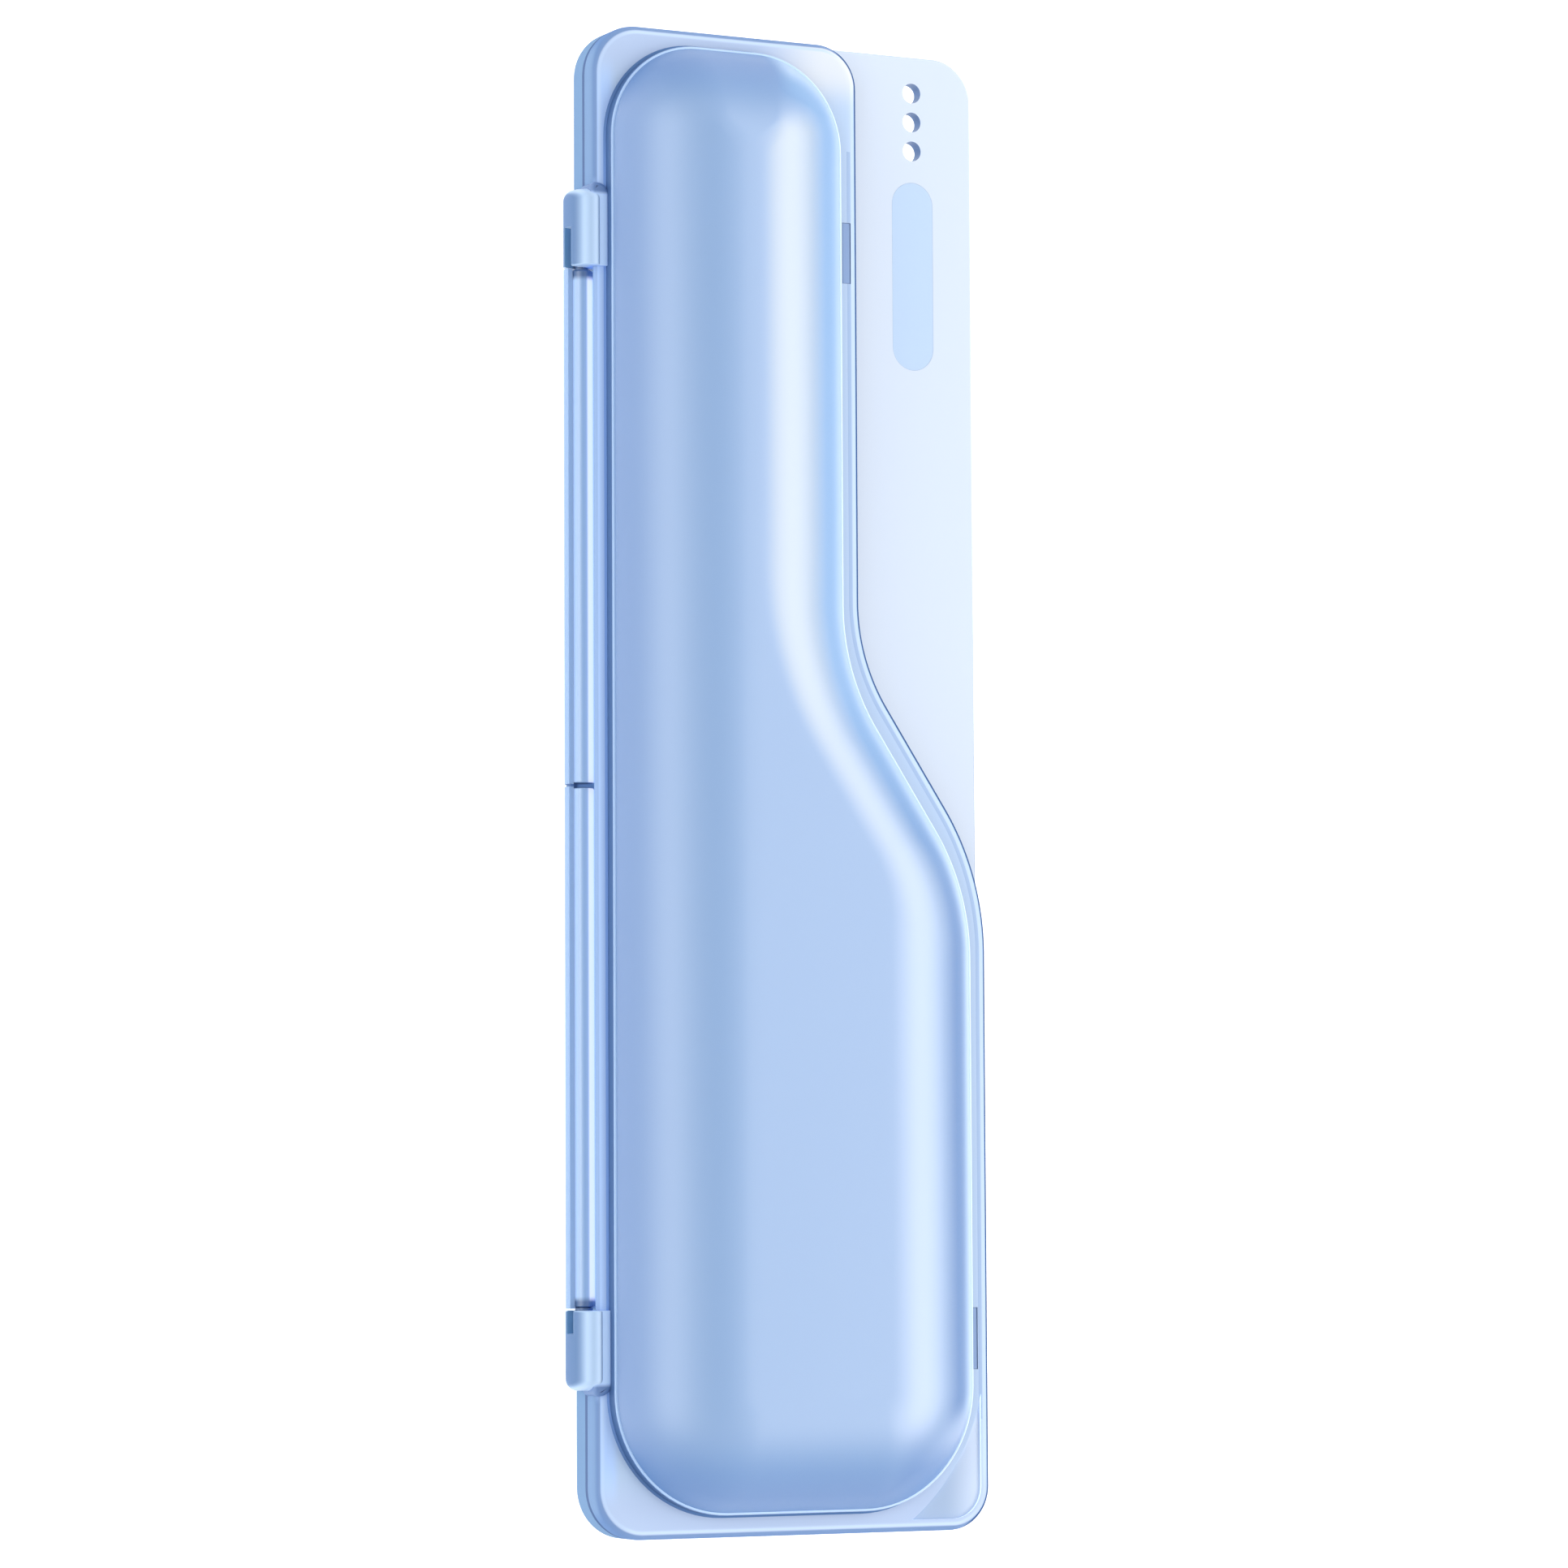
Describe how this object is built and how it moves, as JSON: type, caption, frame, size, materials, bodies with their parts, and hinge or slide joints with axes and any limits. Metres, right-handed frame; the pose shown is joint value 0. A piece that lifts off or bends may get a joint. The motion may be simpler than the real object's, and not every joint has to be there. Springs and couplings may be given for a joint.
{
  "type": "electric toothbrush travel case",
  "caption": "Slim hinged travel case with a bottle-shaped pillow dome on a flat rounded back plate; the lid turns on two rods along its long edge.",
  "frame": {"origin": "on the flat back of the bowl that the case rests on, at the middle of the case's width and length", "axes": "+X across the case away from the hinge, +Y along the case towards the narrow end, +Z out of the lid"},
  "size_m": [0.0675, 0.22, 0.0338],
  "materials": {
    "shell_plastic": "satin, slightly translucent light blue",
    "label_plastic": "satin pale blue, blank",
    "rod_plastic": "smooth light blue",
    "support_plastic": "matte off-white"
  },
  "bodies": {
    "base": {"base_shell": "shell_plastic", "hinge_rod_upper": "rod_plastic", "hinge_rod_lower": "rod_plastic", "label_inlay": "label_plastic", "handle_cradle_upper": "support_plastic", "handle_cradle_lower": "support_plastic", "brush_head_holder": "support_plastic"},
    "lid": {"lid_shell": "shell_plastic", "lid_pad_upper": "support_plastic", "lid_pad_lower": "support_plastic"}
  },
  "joints": [
    {"name": "lid_hinge", "type": "hinge", "parent": "base", "child": "lid", "pos_m": [-0.0326, -0.00155, 0.01715], "axis": [0, -1, 0], "range_deg": [0, 180]}
  ]
}
